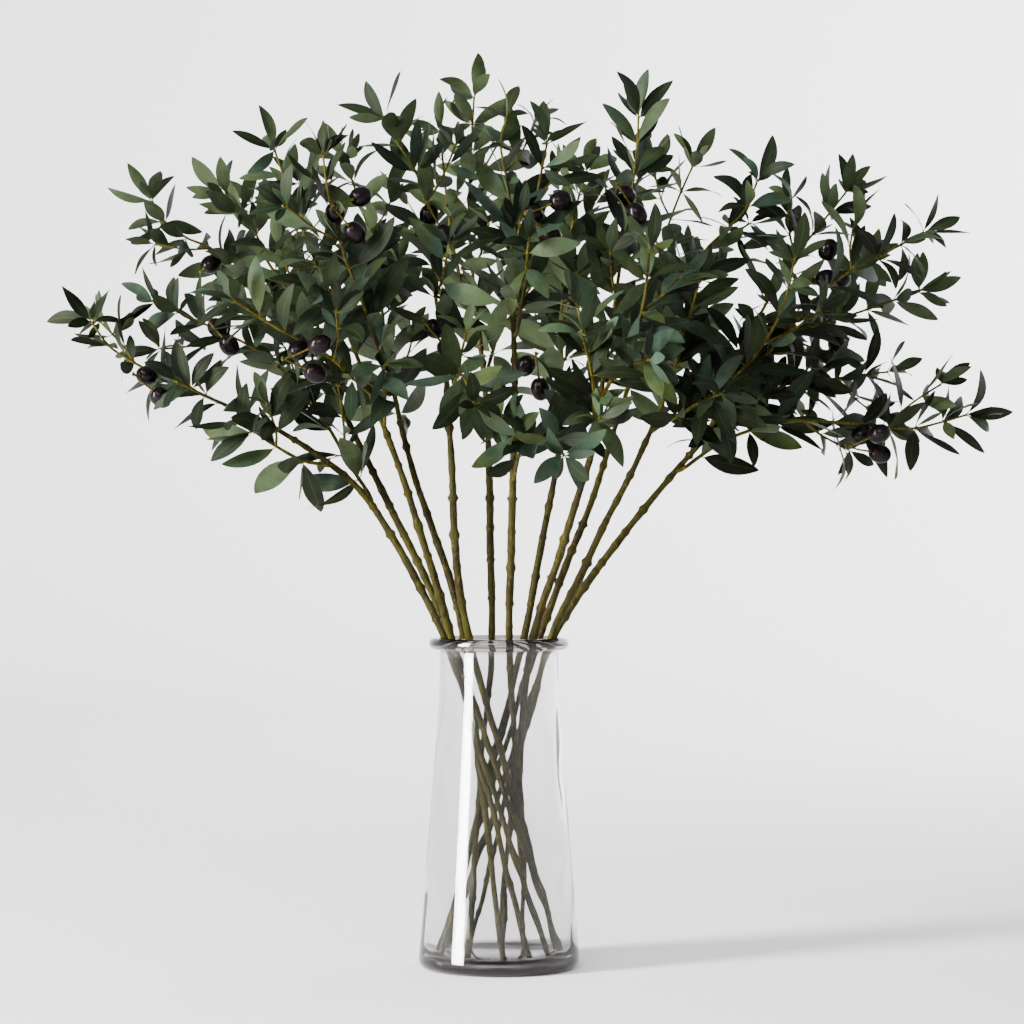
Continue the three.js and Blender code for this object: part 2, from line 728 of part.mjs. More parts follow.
const woods = [
  ...canes.map(({ curve }) => ({ curve, radiusAt: caneRadius })),
  ...sprays.map(({ main }) => ({ curve: main.curve, radiusAt: (t) => twigRadius(main, t) })),
];
CLUSTERS.forEach((cluster, i) => {
  const name = `olives_${number(i)}`;
  place(name, toGeometry(clusterSolid(cluster, woods, name)), finish.olive);
});

for (const { owner, main, sides } of sprays) {
  place(owner, sprayBody(main, sides, owner).geometry(), finish.leaf);
}
console.log(`${leafCount} leaves`);

export default group;
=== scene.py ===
"""Twelve cut olive branches with ripe fruit, standing in a tall blown-glass vase.

Everything is in metres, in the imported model's frame: the origin is the middle of the vase's
underside, +Z is up and -Y is the front.
"""

import bpy
import numpy as np
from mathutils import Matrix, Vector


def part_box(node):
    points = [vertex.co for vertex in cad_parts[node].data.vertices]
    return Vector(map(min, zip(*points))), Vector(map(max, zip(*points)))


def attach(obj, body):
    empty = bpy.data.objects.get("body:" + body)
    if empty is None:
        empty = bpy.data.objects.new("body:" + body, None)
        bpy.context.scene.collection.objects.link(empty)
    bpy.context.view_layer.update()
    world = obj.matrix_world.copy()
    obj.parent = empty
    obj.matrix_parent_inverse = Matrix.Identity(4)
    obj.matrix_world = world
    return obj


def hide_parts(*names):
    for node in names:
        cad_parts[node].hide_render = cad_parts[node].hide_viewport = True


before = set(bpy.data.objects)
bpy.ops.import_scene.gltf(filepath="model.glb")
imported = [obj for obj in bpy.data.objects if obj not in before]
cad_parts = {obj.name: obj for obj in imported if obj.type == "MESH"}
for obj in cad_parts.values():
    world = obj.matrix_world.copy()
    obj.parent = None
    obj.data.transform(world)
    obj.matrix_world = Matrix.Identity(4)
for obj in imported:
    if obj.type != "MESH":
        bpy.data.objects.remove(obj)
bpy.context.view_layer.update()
mm = 0.001

# ---------------------------------------------------------------------------------------------
# The vase. Blown clear glass with a faint smoky tint: a thick foot, a wall that leans in to a
# short straight neck, and a lip folded over into a round bead. It stands on its foot, and the
# wall's inner side is wavy from the blowing.

FOOT_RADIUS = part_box("vase")[1].x
VASE_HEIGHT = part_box("vase")[1].z
FOOT_ROUND = 9 * mm
NECK_RADIUS = 59.5 * mm
NECK_HEIGHT = 272 * mm
NECK_BLEND = 9 * mm
LIP_BEAD = 6 * mm
LIP_RADIUS = 70 * mm
LIP_FLARE = 7 * mm
WALL = 3.2 * mm
WALL_AT_FOOT = 5.5 * mm
WALL_THINS_OVER = 35 * mm
WALL_ROWS = 70
GLASS_FLOOR = 10.5 * mm
INNER_ROUND = 13 * mm
BLEND = 3 * mm  # left free beside a rounding, so that the skin eases into it
PUNT = 2.2 * mm
RIPPLE = 0.75 * mm
GLASS_SIDES = 192
GLASS_CLEAR = (0.89, 0.89, 0.895, 1)
GLASS_FOOT_SHADE = (0.020, 0.014, 0.012, 1)
GLASS_LIP_SHADE = (0.30, 0.26, 0.25, 1)
SMOKE_COLOUR = (0.5, 0.47, 0.5, 1)
SMOKE_DENSITY = 14


class Value:
    """A node's output. Operators on it add Math nodes, so that shader maths reads as maths."""

    def __init__(self, finish, plug):
        self.finish, self.plug = finish, plug

    def math(self, operation, *others):
        inputs = {0: self, **{i + 1: other for i, other in enumerate(others)}}
        return self.finish.node("ShaderNodeMath", {"operation": operation}, inputs)

    def __add__(self, other):
        return self.math("ADD", other)

    def __radd__(self, other):
        return self.math("ADD", other)

    def __sub__(self, other):
        return self.math("SUBTRACT", other)

    def __rsub__(self, other):
        return self.math("MULTIPLY_ADD", -1, other)

    def __mul__(self, other):
        return self.math("MULTIPLY", other)

    def __rmul__(self, other):
        return self.math("MULTIPLY", other)

    def __abs__(self):
        return self.math("ABSOLUTE")


class Finish:
    """A material in the making, on one Principled shader."""

    def __init__(self, name, **constants):
        self.material = bpy.data.materials.new(name)
        self.material.use_nodes = True
        self.tree = self.material.node_tree
        self.surface = self.tree.nodes["Principled BSDF"]
        for socket, value in constants.items():
            self.surface.inputs[socket.replace("_", " ")].default_value = value

    def node(self, kind, settings=None, inputs=None, out=0):
        """Any other node. Its settings come first, a ramp's stops among them, then its sockets'
        values or links, by name or number. Returns the output named or numbered out."""
        made = self.tree.nodes.new(kind)
        for setting, value in (settings or {}).items():
            if setting == "stops":
                ramp = made.color_ramp
                ramp.elements.remove(ramp.elements[1])
                ramp.elements[0].position, ramp.elements[0].color = value[0]
                for place, colour in value[1:]:
                    ramp.elements.new(place).color = colour
            else:
                setattr(made, setting, value)
        for socket, value in (inputs or {}).items():
            self.put(made.inputs[socket], value)
        return Value(self, made.outputs[out])

    def put(self, socket, value):
        if isinstance(value, Value):
            self.tree.links.new(value.plug, socket)
        else:
            socket.default_value = value

    def place(self):
        """Object coordinates."""
        return self.node("ShaderNodeTexCoord", out="Object")

    def axis(self, name, vector):
        """A vector's X, Y or Z."""
        return self.node("ShaderNodeSeparateXYZ", None, {0: vector}, out=name)

    def stretched(self, scale):
        """Object coordinates times a scale on each axis."""
        settings = {"operation": "MULTIPLY"}
        return self.node("ShaderNodeVectorMath", settings, {0: self.place(), 1: scale})

    def noise(self, vector, scale, detail=3, roughness=0.55):
        inputs = {"Vector": vector, "Scale": scale, "Detail": detail, "Roughness": roughness}
        return self.node("ShaderNodeTexNoise", None, inputs)

    def attribute(self, name, out="Fac"):
        return self.node("ShaderNodeAttribute", {"attribute_name": name}, out=out)

    def ramp(self, factor, *stops):
        """Colour, or grey, by factor. Each stop is a place from 0 to 1 and a colour or a number."""
        full = [(at, c if isinstance(c, tuple) else (c, c, c, 1)) for at, c in stops]
        return self.node("ShaderNodeValToRGB", {"stops": full}, {"Fac": factor})

    def mix(self, factor, a, b, way="MIX"):
        settings = {"data_type": "RGBA", "blend_type": way}
        return self.node("ShaderNodeMix", settings, {0: factor, 6: a, 7: b}, out=2)

    def colour(self, value):
        self.put(self.surface.inputs["Base Color"], value)

    def roughness(self, value):
        self.put(self.surface.inputs["Roughness"], value)

    def bump(self, height, depth, strength=1.0):
        """Bump, where height 0 to 1 stands for depth in metres."""
        inputs = {"Height": height, "Distance": depth, "Strength": strength}
        self.put(self.surface.inputs["Normal"], self.node("ShaderNodeBump", None, inputs))


def closed_skins(rings, ends):
    """Points, quads and triangles of n closed shapes. Each is a stack of rings, an array of shape
    (n, rows, columns, 3), drawn together to a point at each end, an array of shape (n, 2, 3).
    Seen from the last end, the columns run anticlockwise, and so the faces point outwards."""
    n, rows, columns = rings.shape[:3]
    stack = rings.reshape(n, rows * columns, 3)
    points = np.concatenate([ends[:, :1], stack, ends[:, 1:]], axis=1)
    here = 1 + np.arange(rows * columns).reshape(rows, columns)
    turned = np.roll(here, -1, axis=1)
    quads = np.stack([here[:-1], turned[:-1], turned[1:], here[1:]], axis=-1).reshape(-1, 4)
    low, high = np.zeros(columns, int), np.full(columns, rows * columns + 1)
    fan = [[low, turned[0], here[0]], [high, here[-1], turned[-1]]]
    triangles = np.array(fan).transpose(0, 2, 1).reshape(-1, 3)
    first = points.shape[1] * np.arange(n)[:, None, None]
    quads, triangles = (quads + first).reshape(-1, 4), (triangles + first).reshape(-1, 3)
    return points.reshape(-1, 3), quads, triangles


def put_together(skins):
    """Several sets of points, quads and triangles as one."""
    first = np.cumsum([0] + [len(points) for points, _, _ in skins])
    return (
        np.concatenate([points for points, _, _ in skins]),
        np.concatenate([quads + n for n, (_, quads, _) in zip(first, skins)]),
        np.concatenate([triangles + n for n, (_, _, triangles) in zip(first, skins)]),
    )


def make_piece(name, skin, finish, sharp=60):
    """A mesh object of a skin, smooth except where faces meet at more than sharp degrees."""
    points, quads, triangles = skin
    mesh = bpy.data.meshes.new(name)
    mesh.from_pydata(points.tolist(), [], quads.tolist() + triangles.tolist())
    mesh.polygons.foreach_set("use_smooth", np.ones(len(mesh.polygons), bool))
    mesh.set_sharp_from_angle(angle=np.radians(sharp))
    mesh.materials.append(finish.material)
    piece = bpy.data.objects.new(name, mesh)
    bpy.context.scene.collection.objects.link(piece)
    return piece


def arc(middle, radius, start, end, count):
    """Points round a middle, from one angle to another in degrees, 0 outwards and 90 upwards."""
    angle = np.radians(np.linspace(start, end, count))
    return np.stack([middle[0] + radius * np.cos(angle), middle[1] + radius * np.sin(angle)], 1)


def wall_radius(z):
    """The outer wall: straight from the foot to the neck, and rounded into the upright neck by
    the softened ramp blend * log(1 + exp(distance / blend))."""
    lean = (FOOT_RADIUS - NECK_RADIUS) / (NECK_HEIGHT - FOOT_ROUND)
    below_neck = NECK_BLEND * np.log1p(np.exp((NECK_HEIGHT - z) / NECK_BLEND))
    return NECK_RADIUS + lean * below_neck


def ripple(turn, z):
    """How far the glass is out of true, -1 to 1: the sum of three sines of the turn and the
    height, so that the waves lean and drift on their way up."""
    return (
        np.sin(7 * turn + 19 * z + 1.5 * np.sin(2 * turn + 9 * z))
        + 0.8 * np.sin(13 * turn - 27 * z + 0.7 + np.sin(40 * z))
        + 0.5 * np.sin(4 * turn + 75 * z + 2 * np.sin(3 * turn))
    ) / 2.3


def glass_skin():
    """The whole vase as one profile turned about the Z axis: underside, foot, outer wall, lip,
    inner wall and floor. The wall thins with height by exp(-height / WALL_THINS_OVER). Inside,
    the radius also changes by ripple times RIPPLE, which fades in from the lip and out again by
    the floor's middle, as the root of half a sine."""
    foot = FOOT_RADIUS - FOOT_ROUND
    bead = (LIP_RADIUS - LIP_BEAD, VASE_HEIGHT - LIP_BEAD)
    z = np.linspace(FOOT_ROUND + BLEND, bead[1] - LIP_FLARE, WALL_ROWS)
    inner_top, inner_bottom = bead[1] - LIP_FLARE - 2 * mm, GLASS_FLOOR + INNER_ROUND + BLEND
    inner_z = np.linspace(inner_top, inner_bottom, WALL_ROWS)
    thick = WALL + (WALL_AT_FOOT - WALL) * np.exp(-inner_z / WALL_THINS_OVER)
    inner = wall_radius(inner_z) - thick
    underside = np.linspace(0.06, 0.96, 8)[:, None] * [[foot, 0]]
    underside[:, 1] = PUNT * (1 - (underside[:, 0] / foot) ** 2) ** 2
    floor_middle = (inner[-1] - INNER_ROUND, GLASS_FLOOR + INNER_ROUND)
    floor = np.linspace(0.96, 0.05, 12)[:, None] * [[floor_middle[0], 0]] + [[0, GLASS_FLOOR]]
    outside = np.concatenate([
        underside,
        arc((foot, FOOT_ROUND), FOOT_ROUND, -90, 0, 10),
        np.stack([wall_radius(z), z], axis=1),
        arc(bead, LIP_BEAD, -128, 160, 26),
    ])
    inside = np.concatenate([
        np.stack([inner, inner_z], axis=1),
        arc(floor_middle, INNER_ROUND, 0, -90, 10),
        floor,
    ])
    outline = np.concatenate([outside, inside])
    wavy = np.zeros(len(outline))
    wavy[len(outside):] = np.sin(np.linspace(0, np.pi, len(inside))) ** 0.5
    turn = np.linspace(0, 2 * np.pi, GLASS_SIDES, endpoint=False)
    radius = outline[:, :1] + RIPPLE * wavy[:, None] * ripple(turn, outline[:, 1:])
    height = np.broadcast_to(outline[:, 1:], radius.shape)
    rings = np.stack([radius * np.cos(turn), radius * np.sin(turn), height], axis=-1)
    ends = np.array([[[0, 0, PUNT], [0, 0, GLASS_FLOOR]]])
    return closed_skins(rings[None], ends)


glass = Finish("smoky_clear_glass", Transmission_Weight=1, IOR=1.4)
share = glass.axis("Z", glass.place()) * (1 / VASE_HEIGHT)
# Painted shade: the clear glass is tinted nearly black through the solid bottom of the foot and
# grey in the lip's bead, where thick glass looks dark.
foot_shade_mask = glass.ramp(share, (0.0, 1.0), (0.03, 1.0), (0.05, 0.0))
lip_shade_mask = glass.ramp(share, (0.95, 0.0), (0.968, 1.0))
glass.colour(glass.mix(foot_shade_mask, glass.mix(lip_shade_mask, GLASS_CLEAR, GLASS_LIP_SHADE), GLASS_FOOT_SHADE))
glass.roughness(0.004 + 0.02 * glass.noise(glass.place(), 30))
glass.bump(glass.noise(glass.stretched((1, 1, 0.3)), 50, detail=1), 0.4 * mm, 0.4)
tint = {"Color": SMOKE_COLOUR, "Density": SMOKE_DENSITY}
smoke = glass.node("ShaderNodeVolumeAbsorption", None, tint)
glass.put(glass.tree.nodes["Material Output"].inputs["Volume"], smoke)

vase = make_piece("vase_glass", glass_skin(), glass)
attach(vase, "root")
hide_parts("vase")

# ---------------------------------------------------------------------------------------------
# The canes. Twelve bare woody stems, cut square at the foot, that cross inside the vase, lean
# on its lip and run up into the crown. The bark is olive green to brown, knuckled every 17 mm
# or so where a pair of leaves has dropped.

SECTION_REACH = 10 * mm  # shorter edges lie in one cross section of the cane's solid
CANE_SIDES = 14
CANE_STEP = 1.9 * mm
END_DOME = 0.3
KNUCKLE_SPACING = 17 * mm
KNUCKLE_WIDTH = (1.3 * mm, 4.4 * mm)
KNUCKLE_RISE = 0.30
FORK_SWELL = 0.22
BARK_GREEN = (0.0270, 0.0235, 0.0003, 1)
BARK_BROWN = (0.0120, 0.0078, 0.0005, 1)
BARK_PALE = (0.066, 0.056, 0.002, 1)
BARK_HOLLOW_SHADE = (0.0025, 0.0018, 0.0005, 1)
chance = np.random.default_rng(1907)  # one seeded stream, so every run grows the same plant


def solid_net(node):
    """A CAD solid's corners, each once, and a square table of which share an edge."""
    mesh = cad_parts[node].data
    place = np.zeros(3 * len(mesh.vertices), np.float32)
    mesh.vertices.foreach_get("co", place)
    used = np.zeros(len(mesh.loops), np.int32)
    mesh.loops.foreach_get("vertex_index", used)
    rounded = np.round(place.reshape(-1, 3).astype(float), 6)
    corners, number = np.unique(rounded, axis=0, return_inverse=True)
    faces = number.ravel()[used].reshape(-1, 3)
    joined = np.zeros((len(corners), len(corners)), bool)
    joined[faces, np.roll(faces, 1, axis=1)] = True
    return corners, joined | joined.T


def spans(corners):
    """The distance from each corner to each other."""
    return np.linalg.norm(corners[:, None] - corners, axis=2)


def groups(corners, joined, reach):
    """Each corner's group number. Edges shorter than reach tie corners into one group: every
    corner takes the lowest number that it touches, until none changes."""
    near = (joined & (spans(corners) < reach)) | np.eye(len(corners), dtype=bool)
    label = np.arange(len(corners))
    while True:
        lower = np.where(near, label, len(corners)).min(axis=1)
        if (lower == label).all():
            return np.unique(label, return_inverse=True)[1].ravel()
        label = lower


def unit(vectors):
    """Vectors divided by their lengths."""
    return vectors / np.maximum(np.linalg.norm(vectors, axis=-1, keepdims=True), 1e-12)


def smooth_path(knots, values, count):
    """count points evenly along a smooth curve through the knots, and the values there. Between
    two knots it is the cubic that has the knots' own slopes at its ends."""
    at = np.concatenate([[0], np.cumsum(np.linalg.norm(np.diff(knots, axis=0), axis=1))])
    slope = np.gradient(knots, at, axis=0)
    along = np.linspace(0, at[-1], count)
    i = np.clip(np.searchsorted(at, along, side="right") - 1, 0, len(at) - 2)
    step = (at[i + 1] - at[i])[:, None]
    f = (along - at[i])[:, None] / step
    path = (
        knots[i] * (1 + 2 * f) * (1 - f) ** 2
        + slope[i] * step * f * (1 - f) ** 2
        + knots[i + 1] * f**2 * (3 - 2 * f)
        + slope[i + 1] * step * f**2 * (f - 1)
    )
    return path, np.interp(along, at, values)


def tube(path, radius):
    """A skin round a path: each ring's points stand off it by the radius, in two directions that
    are square to it, times the cosine and sine of the turn. The ends are domed out by END_DOME
    of their radius. radius is rows by columns."""
    along = unit(np.gradient(path, axis=0))
    reference = np.eye(3)[np.abs(along.mean(axis=0)).argmin()]
    aside = unit(np.cross(reference, along))
    other = np.cross(along, aside)
    turn = np.linspace(0, 2 * np.pi, radius.shape[1], endpoint=False)[None, :, None]
    out = np.cos(turn) * aside[:, None] + np.sin(turn) * other[:, None]
    rings = path[:, None] + radius[..., None] * out
    first = path[0] - END_DOME * radius[0, 0] * along[0]
    last = path[-1] + END_DOME * radius[-1, 0] * along[-1]
    return closed_skins(rings[None], np.array([[first, last]]))


def knuckled(path, radius):
    """A cane's radius by row and column: its plain radius, long low ridges that are sines of the
    turn and the length, and at each knuckle a swelling exp(-(distance / width)^2), with a nub,
    |cos|^5 of the turn, on the two sides where leaves sat. The knuckles grow towards the fork,
    and the cane thickens by FORK_SWELL times (its share of the length)^3."""
    length = np.linalg.norm(np.diff(path, axis=0), axis=1).sum()
    along = np.linspace(0, length, len(path))[:, None]
    turn = np.linspace(0, 2 * np.pi, CANE_SIDES, endpoint=False)[None]
    count = max(1, int(length / KNUCKLE_SPACING))
    where = (np.arange(count) + chance.uniform(0.2, 0.8, count)) * length / count
    facing = np.pi / 2 * np.arange(count) + chance.uniform(-0.5, 0.5, count)
    width = chance.uniform(*KNUCKLE_WIDTH, count)
    size = chance.uniform(0.2, 1.5, count) * (0.7 + 1.1 * (where / length) ** 3)
    nub = np.abs(np.cos(turn[..., None] - facing)) ** 5
    swelling = np.exp(-(((along[..., None] - where) / width) ** 2)) * size * (0.3 + nub)
    ridges = 0.06 * np.sin(5 * turn + 2 * np.sin(along / (19 * mm)))
    ridges = ridges + 0.05 * np.sin(2 * turn + along / (7 * mm))
    thick = radius[:, None] * (1 + FORK_SWELL * (along / length) ** 3)
    return thick * (1 + ridges + KNUCKLE_RISE * swelling.sum(axis=2))


def bark_finish(name, green, brown, pale):
    """Bark: green and brown patches drawn out lengthwise, pale flecks, and fine wrinkles, with
    painted shade darkening the wrinkles' hollows.
    """
    bark = Finish(name, Specular_IOR_Level=0.12)
    patches = bark.noise(bark.stretched((1, 1, 0.35)), 55, detail=4, roughness=0.6)
    flecks = bark.noise(bark.stretched((1, 1, 0.5)), 340, detail=2)
    wrinkles = bark.noise(bark.stretched((1, 1, 0.12)), 420, detail=4, roughness=0.65)
    ground = bark.mix(bark.ramp(patches, (0.40, 0.0), (0.62, 1.0)), green, brown)
    worn = bark.mix(bark.ramp(flecks, (0.56, 0.0), (0.72, 0.75)), ground, pale)
    # Painted shade: the bark darkens towards near black in the low places of the wrinkles that the
    # bump sinks.
    bark.colour(bark.mix(bark.ramp(wrinkles, (0.32, 0.7), (0.5, 0.0)), worn, BARK_HOLLOW_SHADE))
    bark.roughness(0.55 + 0.3 * patches)
    bark.bump(wrinkles, 0.5 * mm, 0.8)
    return bark


cane_bark = bark_finish("cane_bark", BARK_GREEN, BARK_BROWN, BARK_PALE)
cane_paths = {}
for node in sorted(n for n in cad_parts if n.endswith("_cane")):
    corners, joined = solid_net(node)
    group = groups(corners, joined, SECTION_REACH)
    sections = [corners[group == g] for g in range(group.max() + 1)]
    sections.sort(key=lambda section: section[:, 2].mean())
    middles = np.array([section.mean(axis=0) for section in sections])
    radii = np.array([spans(section).max() / 2 for section in sections])
    length = np.linalg.norm(np.diff(middles, axis=0), axis=1).sum()
    path, radius = smooth_path(middles, radii, int(length / CANE_STEP))
    cane_paths[node.removesuffix("_cane")] = path
    cane = make_piece(f"{node}_bark", tube(path, knuckled(path, radius)), cane_bark)
    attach(cane, "root")
    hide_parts(node)

# ---------------------------------------------------------------------------------------------
# The leafy sprays. Each is a springy twig with side twigs, grown from a cane, with leaves set
# round it and one at each end. A leaf is stiff and leathery, dark blue green above with a
# sunken midrib, and pale grey green below.

TWIG_REACH = 6 * mm  # shorter edges lie in one ring or collar of the twig's solid
HALF_COLLAR = 1.5 * mm
TWIG_SIDES = 7
TWIG_ROWS = 40
BUD_SWELL = 0.12
ROOT_BURIED = 4  # rows of its cane's path that a twig starts below, in the wood
TWIG_GREEN = (0.055, 0.049, 0.002, 1)
TWIG_BROWN = (0.022, 0.015, 0.0015, 1)
TWIG_PALE = (0.130, 0.112, 0.008, 1)
LEAF_STATIONS = np.array([0.01, 0.06, 0.11, 0.17, 0.25, 0.35, 0.46, 0.57, 0.68, 0.78, 0.87, 0.95])
LEAF_ACROSS = np.array([1, 0, -1, 0])  # margin, upper midrib, margin, lower midrib
LEAF_FACE = np.array([0, 1, 0, -1])
LEAF_WIDEST = 0.48  # the widest place, as a share of the leaf's length
LEAF_THICK = 0.55 * mm
LEAF_FILL = 0.9  # the blade's width, as a share of its solid's
STEM_SHARE = 0.06
STEM_THICK = 1.1 * mm
TWIST_FROM = 0.2
BEND = (-0.30, 0.16)
SWAY = (-0.30, 0.30)
TWIST = 0.45
CUP = (-0.18, 0.38)
LEAF_DARK = (0.0021, 0.0034, 0.0006, 1)
LEAF_MIDDLE = (0.0076, 0.0120, 0.0034, 1)
LEAF_SAGE = (0.038, 0.059, 0.026, 1)
LEAF_YOUNG = (0.032, 0.044, 0.009, 1)
LEAF_BELOW = (0.018, 0.024, 0.009, 1)
LEAF_COOL = (0.86, 1.02, 1.6, 1)
TONE_SPREAD = 0.27
COMPANIONS = 0.66  # the share of leaves with a smaller one beside them
COMPANION_SPIN = (0.7, 1.25)
COMPANION_LEAN = (0.28, 0.65)
COMPANION_SIZE = (0.6, 0.95)


def read_leaves(corners, joined):
    """Every leaf's root, middle, tip, up direction and half width, and which corners are on
    leaves. A leaf's tip has three edges, all longer than TWIG_REACH, to the two sides and the
    underside of its widest part, and its root is the middle of the three corners that those
    spring from."""
    gap = spans(corners)
    shortest = np.where(joined, gap, 1).min(axis=1)
    tips = np.flatnonzero((joined.sum(axis=1) == 3) & (shortest > TWIG_REACH))
    belt = np.nonzero(joined[tips])[1].reshape(-1, 3)
    widths = gap[belt, np.roll(belt, -1, axis=1)]
    under = np.array([2, 0, 1])[widths.argmax(axis=1)]
    rows = np.arange(len(tips))
    rib = corners[belt[rows, under]]
    left, right = corners[belt[rows, (under + 1) % 3]], corners[belt[rows, (under + 2) % 3]]
    used = np.zeros(len(corners), bool)
    used[tips] = used[belt] = True
    base = joined[belt].any(axis=1) & ~used
    root = base @ corners / base.sum(axis=1, keepdims=True)
    middle = (left + right) / 2
    half_width = np.linalg.norm(left - right, axis=1) / 2
    return root, middle, corners[tips], unit(middle - rib), half_width, used


def read_twigs(corners, joined, used):
    """Each twig as a list of knots and radii. Its corners stand in small groups: one ring of
    three at its root, and from there a collar's two rings, HALF_COLLAR to each side of its
    middle. Each twig keeps to the next group that lies most nearly ahead, and the others start
    twigs of their own."""
    corners, joined = corners[~used], joined[np.ix_(~used, ~used)]
    group = groups(corners, joined, TWIG_REACH)
    member = group == np.arange(group.max() + 1)[:, None]
    count = member.sum(axis=1)
    middles = member @ corners / count[:, None]
    square = (member @ ((corners - middles[group]) ** 2)).sum(axis=1) / count
    radii = np.sqrt(square - np.where(count > 3, HALF_COLLAR**2, 0))
    linked = (member.astype(float) @ joined @ member.T > 0) & ~np.eye(len(count), dtype=bool)
    root = int(count.argmin())
    seen, twigs, starts = {root}, [], [(root, None)]
    while starts:
        here, after = starts.pop()
        chain = [here] if after is None else [here, after]
        here = chain[-1]
        while True:
            ahead = [int(k) for k in np.flatnonzero(linked[here]) if int(k) not in seen]
            if not ahead:
                break
            seen.update(ahead)
            if len(chain) > 1:
                course = unit(middles[here] - middles[chain[-2]])
                ahead.sort(key=lambda k: -float(unit(middles[k] - middles[here]) @ course))
            starts += [(here, other) for other in ahead[1:]]
            here = ahead[0]
            chain.append(here)
        twigs.append((middles[chain], radii[chain]))
    return twigs


def spun(vectors, axes, angles):
    """Vectors v turned about unit axes k by angles a: v times cos(a), plus k cross v times
    sin(a), plus k times (k dot v) times (1 - cos(a))."""
    c, s = np.cos(angles)[:, None], np.sin(angles)[:, None]
    onto = (vectors * axes).sum(axis=1, keepdims=True)
    return vectors * c + np.cross(axes, vectors) * s + axes * onto * (1 - c)


def with_companions(root, middle, tip, up, half_width):
    """The leaves, and beside a share of them a smaller leaf from the same bud, spun 40 to 70
    degrees to one side and leaned up or down."""
    pick = np.flatnonzero(chance.random(len(root)) < COMPANIONS)
    around = chance.choice([-1, 1], len(pick)) * chance.uniform(*COMPANION_SPIN, len(pick))
    lean = chance.choice([-1, 1], len(pick)) * chance.uniform(*COMPANION_LEAN, len(pick))
    size = chance.uniform(*COMPANION_SIZE, len(pick))
    side = unit(np.cross(up[pick], tip[pick] - root[pick]))

    def moved(vectors):
        return spun(spun(vectors, side, lean), up[pick], around)

    reach = [root[pick] + size[:, None] * moved(p[pick] - root[pick]) for p in (middle, tip)]
    return (
        np.concatenate([root, root[pick]]),
        np.concatenate([middle, reach[0]]),
        np.concatenate([tip, reach[1]]),
        np.concatenate([up, moved(up[pick])]),
        np.concatenate([half_width, size * half_width[pick]]),
    )


def leaf_skins(root, middle, tip, up, half_width, bend, sway, twist, cup):
    """All of a spray's leaves at once. Each follows the parabola through its root, middle and
    tip. Its half width is a stem's at first, then the blade's, sin(pi u)^0.78 along the blade,
    and its two faces stand half a thickness off the middle along the midrib and meet at the
    margin. The blade folds up about its midrib, bends, sways and twists by its own amounts. Every
    quad starts on the margin, so both faces crease alike and neither comes through the other."""
    s, w = LEAF_STATIONS, LEAF_WIDEST
    weights = np.stack([(s - w) * (s - 1) / w, s * (s - 1) / (w * (w - 1)), s * (s - w) / (1 - w)])
    slopes = np.stack([(2 * s - w - 1) / w, (2 * s - 1) / (w * (w - 1)), (2 * s - w) / (1 - w)])
    knots = np.stack([root, middle, tip], axis=1)
    length = np.linalg.norm(tip - root, axis=1)
    spine = np.einsum("kr,nkc->nrc", weights, knots)
    aim = unit(np.einsum("kr,nkc->nrc", slopes, knots))
    edgeways = unit(np.cross(up, tip - root))
    bow = (bend * length)[:, None] * up + (sway * length)[:, None] * edgeways
    spine = spine + (s * (1 - s))[None, :, None] * bow[:, None]
    aim = unit(aim * length[:, None, None] + (1 - 2 * s)[None, :, None] * bow[:, None])
    side = unit(np.cross(up[:, None], aim))
    above = np.cross(aim, side)
    turn = (twist[:, None] * (s - TWIST_FROM))[..., None]
    cosine, sine = np.cos(turn), np.sin(turn)
    side, above = cosine * side + sine * above, cosine * above - sine * side
    u = np.clip((s - STEM_SHARE) / (1 - STEM_SHARE), 0, 1)
    blade = np.sin(np.pi * u) ** 0.78
    half = np.maximum(half_width[:, None] * blade, STEM_THICK / 2)
    across = (half[..., None] * LEAF_ACROSS)[..., None]
    thick = np.where(blade < 0.1, STEM_THICK, LEAF_THICK)[:, None] / 2
    fold = cup[:, None, None] * (half * blade)[..., None] * np.abs(LEAF_ACROSS)
    height = (thick * LEAF_FACE + fold)[..., None]
    rings = spine[:, :, None] + across * side[:, :, None] + height * above[:, :, None]
    buried = spine[:, 0] - 0.8 * mm * aim[:, 0]
    points, quads, triangles = closed_skins(rings, np.stack([buried, tip], axis=1))
    quads = quads.reshape(-1, len(LEAF_ACROSS), 4)
    quads[:, 1::2] = np.roll(quads[:, 1::2], -1, axis=2)
    return points, quads.reshape(-1, 4), triangles


def leaf_marks(piece, count, painted_lights_and_tones):
    """Writes what the leaf finish reads: on points, the leaf's tone, with painted light and shade
    in it, and the place along and across the blade, and on faces, 1 below and 0 above."""
    rows, columns = len(LEAF_STATIONS), len(LEAF_ACROSS)
    along = np.concatenate([[0], np.repeat(LEAF_STATIONS, columns), [1]])
    across = np.concatenate([[0], np.tile(LEAF_ACROSS, rows), [0]])
    blade = np.tile(np.stack([along, across, 0 * along], axis=1), (count, 1))
    tone = np.repeat(painted_lights_and_tones, len(along))
    lower = np.repeat([0.0, 1.0], columns // 2)
    below = np.concatenate([np.tile(lower, (rows - 1) * count), np.tile(lower, 2 * count)])
    mesh = piece.data
    mesh.attributes.new("blade", "FLOAT_VECTOR", "POINT").data.foreach_set("vector", blade.ravel())
    mesh.attributes.new("tone", "FLOAT", "POINT").data.foreach_set("value", tone)
    mesh.attributes.new("below", "FLOAT", "FACE").data.foreach_set("value", below)


